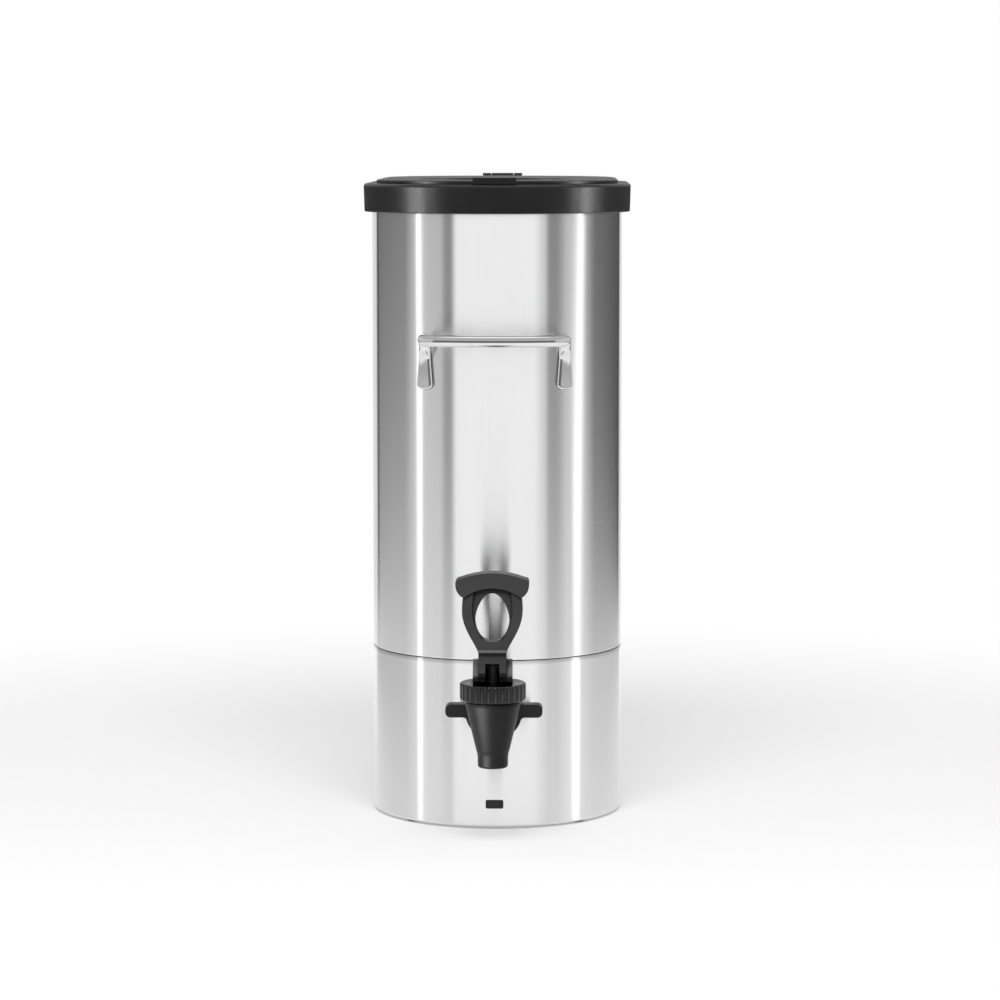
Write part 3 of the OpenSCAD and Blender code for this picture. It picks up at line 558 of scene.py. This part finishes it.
# Tents outside the cards, one for the rods and one for the plastic: greys by angle above the horizon.
ROD_FRONT = [(-30, 0.14), (8, 0.14), (16, 0.48), (70, 0.52), (78, 1.2), (90, 1.2)]
ROD_SIDE = [(-30, 0.38), (-10, 0.5), (10, 0.72), (30, 0.5), (70, 0.52), (78, 1.2), (90, 1.2)]
PLASTIC = [(-30, 0.08), (0, 0.1), (6, 0.3), (14, 0.6), (70, 0.6), (78, 0.8), (90, 0.8)]


def stage_mesh(name, verts, faces, mat):
    mesh = bpy.data.meshes.new(name)
    mesh.from_pydata(verts, [], faces)
    mesh.polygons.foreach_set("use_smooth", [True] * len(mesh.polygons))
    mesh.materials.append(mat)
    obj = bpy.data.objects.new(name, mesh)
    bpy.context.scene.collection.objects.link(obj)
    return obj


def floor_material():
    """White and shadowed near the object, and plain white further out."""
    mat, tree = new_material("white_floor")
    tex = add(tree, "ShaderNodeTexCoord")
    length = add(tree, "ShaderNodeVectorMath", operation="LENGTH")
    link(tree, tex.outputs["Object"], length.inputs[0])
    ends = {"From Min": FLOOR_FADES_FROM, "From Max": FLOOR_FADES_TO}
    outward = add(tree, "ShaderNodeMapRange", ends, interpolation_type="SMOOTHSTEP")
    link(tree, length.outputs["Value"], outward.inputs["Value"])
    diffuse = add(tree, "ShaderNodeBsdfDiffuse", {"Color": (FLOOR_GREY, FLOOR_GREY, FLOOR_GREY, 1.0)})
    seen = seen_directly(tree)
    lift = add(tree, "ShaderNodeMath", {1: FLOOR_LIFT}, operation="MULTIPLY")
    link(tree, seen, lift.inputs[0])
    glow = add(tree, "ShaderNodeEmission")
    link(tree, lift.outputs[0], glow.inputs["Strength"])
    near = add_shaders(tree, diffuse, glow)
    far = add(tree, "ShaderNodeEmission")
    link(tree, seen, far.inputs["Strength"])
    blend = add(tree, "ShaderNodeMixShader")
    link(tree, outward.outputs["Result"], blend.inputs[0])
    link(tree, near.outputs[0], blend.inputs[1])
    link(tree, far.outputs[0], blend.inputs[2])
    output(tree, blend)
    return mat


def make_floor():
    verts = [(0.0, 0.0, 0.0)]
    for i in range(1, FLOOR_RINGS + 1):
        for j in range(FLOOR_SPOKES):
            a = 2 * math.pi * j / FLOOR_SPOKES
            r = FLOOR_R * i / FLOOR_RINGS
            verts.append((r * math.cos(a), r * math.sin(a), 0.0))
    spokes = [(j, (j + 1) % FLOOR_SPOKES) for j in range(FLOOR_SPOKES)]
    faces = [(0, 1 + j, 1 + k) for j, k in spokes]
    for i in range(FLOOR_RINGS - 1):
        low, high = 1 + i * FLOOR_SPOKES, 1 + (i + 1) * FLOOR_SPOKES
        faces += [(low + j, high + j, high + k, low + k) for j, k in spokes]
    floor = stage_mesh("floor", verts, faces, floor_material())
    floor.location = (0.0, TANK_Y, FLOOR_Z)


def make_world():
    """White where it is seen, and a softer fill on surfaces."""
    world = bpy.data.worlds.new("studio")
    bpy.context.scene.world = world
    world.use_nodes = True
    tree = world.node_tree
    tree.nodes.clear()
    level = fade(tree, seen_directly(tree), 0.0, 1.0, WORLD_FILL)
    back = add(tree, "ShaderNodeBackground", {"Color": (1.0, 1.0, 1.0, 1.0)})
    link(tree, level, back.inputs["Strength"])
    output(tree, back, "ShaderNodeOutputWorld")


def glow_material(name, see_through):
    """Emission by the mesh's level attribute; a see-through one also shows what stands behind it."""
    mat, tree = new_material(name)
    attr = add(tree, "ShaderNodeAttribute", attribute_name="level")
    glow = add(tree, "ShaderNodeEmission")
    link(tree, attr.outputs["Fac"], glow.inputs["Strength"])
    output(tree, add_shaders(tree, glow, add(tree, "ShaderNodeBsdfTransparent")) if see_through else glow)
    return mat


def glow_sheet(name, rows, see_through=True):
    """A sheet through rows of points that each carry a level, seen only in reflections."""
    wide = len(rows[0])
    verts = [p[:3] for row in rows for p in row]
    faces = [
        (i * wide + j, i * wide + j + 1, (i + 1) * wide + j + 1, (i + 1) * wide + j)
        for i in range(len(rows) - 1) for j in range(wide - 1)
    ]
    sheet = stage_mesh(name, verts, faces, glow_material(name + "_glow", see_through))
    levels = sheet.data.attributes.new("level", "FLOAT", "POINT")
    levels.data.foreach_set("value", [p[3] for row in rows for p in row])
    sheet.visible_camera = False
    sheet.visible_diffuse = False
    sheet.visible_shadow = False
    sheet.visible_transmission = False
    return sheet


def blend_stops(stops, at):
    """The level at a place between stops of (place, level)."""
    for (a, u), (b, v) in zip(stops, stops[1:]):
        if a <= at <= b:
            return u + (v - u) * (at - a) / (b - a)
    return stops[-1][1]


def card_stops(cards, gain):
    return [p for n, a, b, u, v in cards for p in ((a, u * gain.get(n, 1.0)), (b, v * gain.get(n, 1.0)))]


def make_ring(name, radius, cards, low_gain):
    """A ring of cards; the cards named in low_gain are that much brighter in their lower part."""
    high = card_stops(cards, {})
    low = card_stops(cards, low_gain)
    directions = range(cards[0][1], cards[-1][2] + 1)
    heights = ((RING_LOW, low), (CARD_LOW_Z, low), (CARD_HIGH_Z, high), (RING_HIGH, high))
    rows = [[(*place(radius, deg, z), blend_stops(stops, deg)) for deg in directions] for z, stops in heights]
    return glow_sheet(name, rows)


def make_strip(name, radius, deg, core, soft, lean, level):
    """A bright upright strip before the cards.

    Its direction and the widths of its core and of each soft edge are in degrees, its lean in degrees per metre.
    """
    half = core / 2
    across = ((-half - soft, 0.0), (-half, level), (half, level), (half + soft, 0.0))
    rows = [
        [(*place(radius, deg + off + lean * (z - STRIP_Z), z), glow) for off, glow in across]
        for z in (RING_LOW, RING_HIGH)
    ]
    return glow_sheet(name, rows)


def make_tent(name, radius, front, side, see_through):
    """A tent whose greys change from front to side at about 50 degrees from the front."""
    rows = []
    for up in range(TENT_LOW_DEG, 91, TENT_UP_STEP):
        e = math.radians(up)
        row = []
        for around in range(-180, 181, TENT_ROUND_STEP):
            share = min(max((abs(around) - TENT_SIDE_FROM) / TENT_SIDE_OVER, 0.0), 1.0)
            level = blend_stops(front, up) * (1 - share) + blend_stops(side, up) * share
            row.append((*place(radius * math.cos(e), around, TENT_Z + radius * math.sin(e)), level))
        rows.append(row)
    return glow_sheet(name, rows, see_through)


def area_lamp(name, deg, away, high, size, power, target_z, in_reflections, around_y=TANK_Y):
    """A lamp at a height, a distance and a direction from an upright line, aimed at a height on that line."""
    data = bpy.data.lights.new(name, "AREA")
    data.shape = "RECTANGLE"
    data.size, data.size_y = size
    data.energy = power
    lamp = bpy.data.objects.new(name, data)
    bpy.context.scene.collection.objects.link(lamp)
    lamp.location = place(away, deg, high, around_y)
    aim = Vector((0.0, around_y, target_z)) - lamp.location
    lamp.rotation_euler = aim.to_track_quat("-Z", "Y").to_euler()
    lamp.visible_camera = False
    lamp.visible_glossy = in_reflections
    return lamp


def only_for(names, light):
    """Lets a lamp or a card light only the named pieces."""
    group = bpy.data.collections.new(light.name + "_on")
    for name in names:
        group.objects.link(shown[name])
    light.light_linking.receiver_collection = group


def make_cards():
    only_for(TANK, make_ring("tank_cards", TANK_RING_R, TANK_CARDS, TANK_LOW_GAIN))
    only_for(SKIRT, make_ring("skirt_cards", SKIRT_RING_R, SKIRT_CARDS, {}))
    only_for(TANK, make_strip(
        "tank_strip_left", TANK_STRIP_R, deg=-73.6, core=2.9, soft=1.5, lean=-3.5, level=1.6))
    only_for(TANK, make_strip(
        "tank_strip_right", TANK_STRIP_R, deg=81.6, core=4.3, soft=1.8, lean=11.0, level=1.5))
    only_for(SKIRT, make_strip(
        "skirt_strip_left", SKIRT_STRIP_R, deg=-72.0, core=2.7, soft=2.2, lean=0.0, level=1.4))
    only_for(SKIRT, make_strip(
        "skirt_strip_right", SKIRT_STRIP_R, deg=76.4, core=5.4, soft=2.4, lean=0.0, level=1.4))
    only_for(GLOSSY, make_tent("rod_tent", ROD_TENT_R, ROD_FRONT, ROD_SIDE, see_through=True))
    only_for(SATIN, make_tent("plastic_tent", PLASTIC_TENT_R, PLASTIC, PLASTIC, see_through=False))


def make_lamps():
    only_for(LID, area_lamp(
        "lid_left", deg=-68, away=1.9, high=0.36, size=(0.34, 0.5), power=10.0,
        target_z=0.42, in_reflections=True))
    only_for(LID, area_lamp(
        "lid_right", deg=80, away=1.9, high=0.36, size=(0.28, 0.5), power=9.0,
        target_z=0.42, in_reflections=True))
    only_for(["tap_handle"], area_lamp(
        "lever_top", deg=-14, away=1.0, high=0.95, size=(0.4, 0.3), power=31.0,
        target_z=0.14, in_reflections=False, around_y=TAP_Y))
    only_for(["bonnet"], area_lamp(
        "bonnet_top", deg=0, away=0.22, high=1.2, size=(0.6, 0.4), power=15.0,
        target_z=0.1, in_reflections=True, around_y=TAP_Y))
    only_for(["tap_body"], area_lamp(
        "spout_left", deg=-48, away=0.14, high=0.008, size=(0.12, 0.08), power=0.4,
        target_z=0.075, in_reflections=True, around_y=TAP_Y))
    only_for(TAP, area_lamp(
        "tap_top", deg=10, away=0.7, high=1.8, size=(0.5, 0.3), power=14.0,
        target_z=0.1, in_reflections=True))
    area_lamp(
        "soft_top", deg=0, away=1.2, high=1.9, size=(1.4, 1.0), power=22.0,
        target_z=0.25, in_reflections=False)


make_camera()
build_object()
make_floor()
make_world()
make_cards()
make_lamps()
bpy.context.scene.view_settings.view_transform = "Standard"
